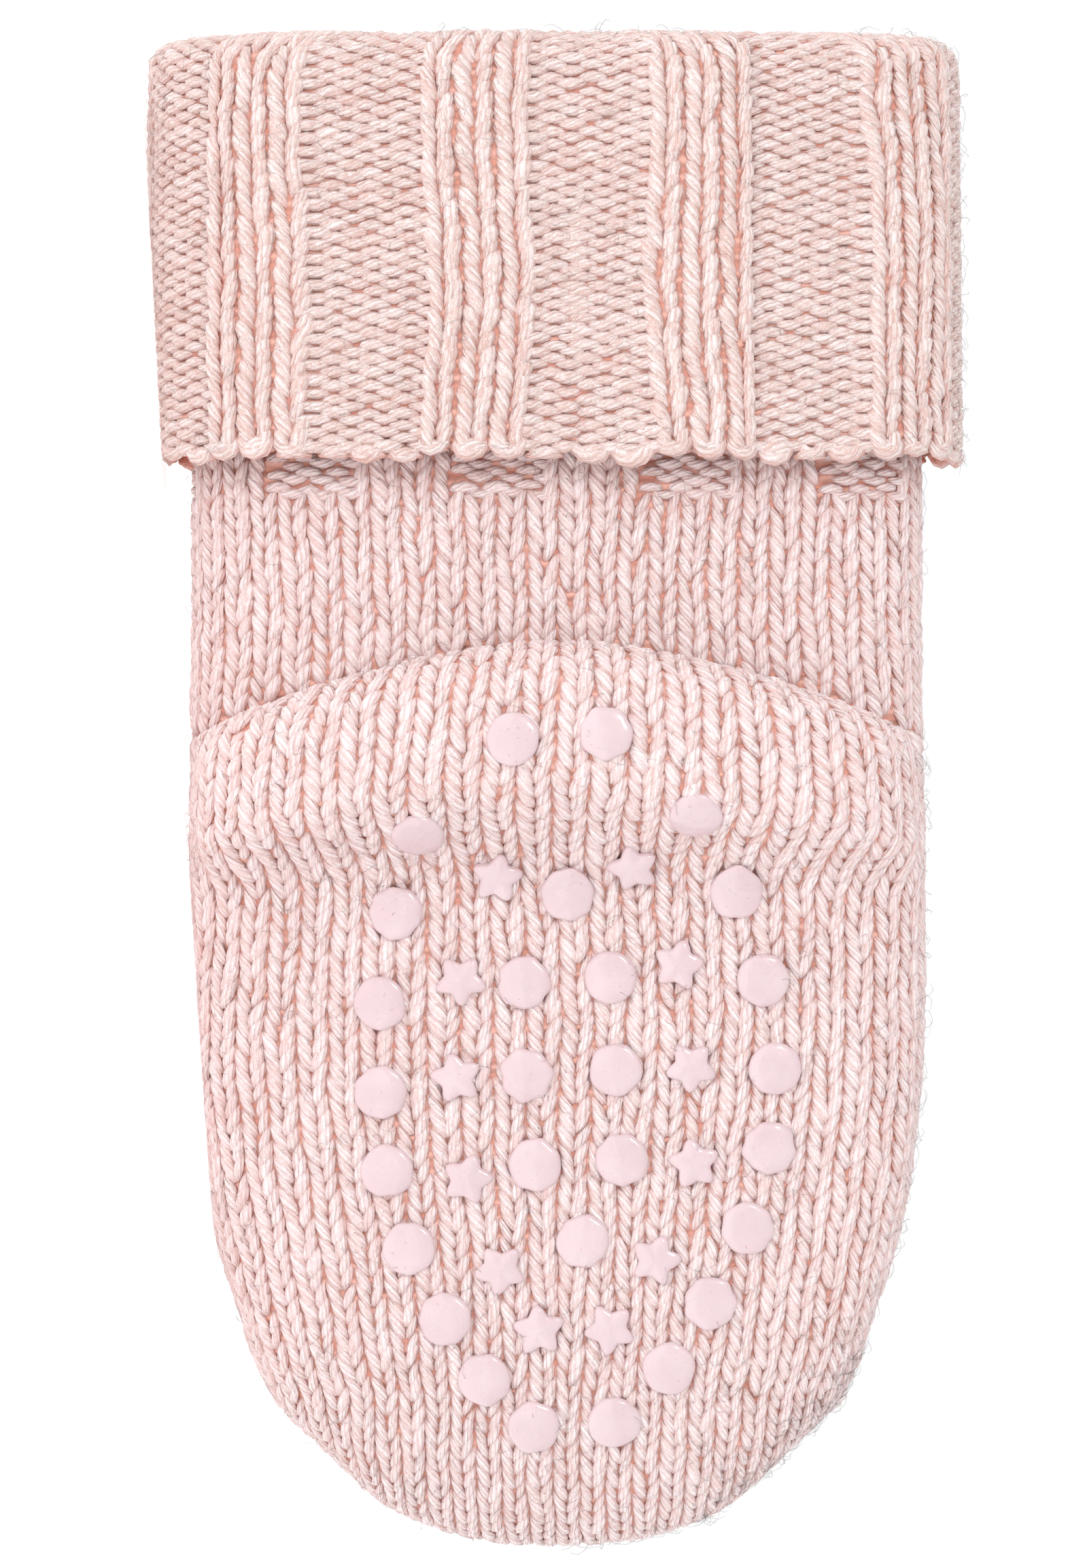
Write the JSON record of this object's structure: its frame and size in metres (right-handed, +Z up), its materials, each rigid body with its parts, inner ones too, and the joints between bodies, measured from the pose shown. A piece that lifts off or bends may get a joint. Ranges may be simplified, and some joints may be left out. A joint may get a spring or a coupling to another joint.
{
  "type": "slipper sock",
  "caption": "Child's knitted slipper sock with a turned-down ribbed cuff, a rounded heel pouch and a rubber grip print of dots and stars on the sole",
  "frame": {"origin": "on the floor, under the middle of the bounding box", "axes": "the sock lies on one long edge: +X from the cuff to the toe, -Y out of the sole, +Z up across the width of the sole"},
  "size_m": [0.1578, 0.0488, 0.0849],
  "materials": {
    "plain_knit": "plain knit of a plied yarn, heathered pale pink and white, soft and matt",
    "rib_knit": "rib of three knit and three purl wales in the same heathered yarn, matt",
    "seam_yarn": "linked seam of the same yarn, matt",
    "grip_rubber": "soft pale pink rubber print, smooth with a satin gloss"
  },
  "bodies": {
    "root": {"sock_body": "plain_knit", "turned_cuff": "rib_knit", "toe_seam": "seam_yarn", "grip_dot_01": "grip_rubber", "grip_dot_02": "grip_rubber", "grip_dot_03": "grip_rubber", "grip_dot_04": "grip_rubber", "grip_dot_05": "grip_rubber", "grip_dot_06": "grip_rubber", "grip_dot_07": "grip_rubber", "grip_dot_08": "grip_rubber", "grip_dot_09": "grip_rubber", "grip_dot_10": "grip_rubber", "grip_dot_11": "grip_rubber", "grip_dot_12": "grip_rubber", "grip_dot_13": "grip_rubber", "grip_dot_14": "grip_rubber", "grip_dot_15": "grip_rubber", "grip_dot_16": "grip_rubber", "grip_dot_17": "grip_rubber", "grip_dot_18": "grip_rubber", "grip_dot_19": "grip_rubber", "grip_dot_20": "grip_rubber", "grip_dot_21": "grip_rubber", "grip_dot_22": "grip_rubber", "grip_dot_23": "grip_rubber", "grip_dot_24": "grip_rubber", "grip_dot_25": "grip_rubber", "grip_dot_26": "grip_rubber", "grip_dot_27": "grip_rubber", "grip_dot_28": "grip_rubber", "grip_star_01": "grip_rubber", "grip_star_02": "grip_rubber", "grip_star_03": "grip_rubber", "grip_star_04": "grip_rubber", "grip_star_05": "grip_rubber", "grip_star_06": "grip_rubber", "grip_star_07": "grip_rubber", "grip_star_08": "grip_rubber", "grip_star_09": "grip_rubber", "grip_star_10": "grip_rubber", "grip_star_11": "grip_rubber", "grip_star_12": "grip_rubber"}
  },
  "joints": []
}
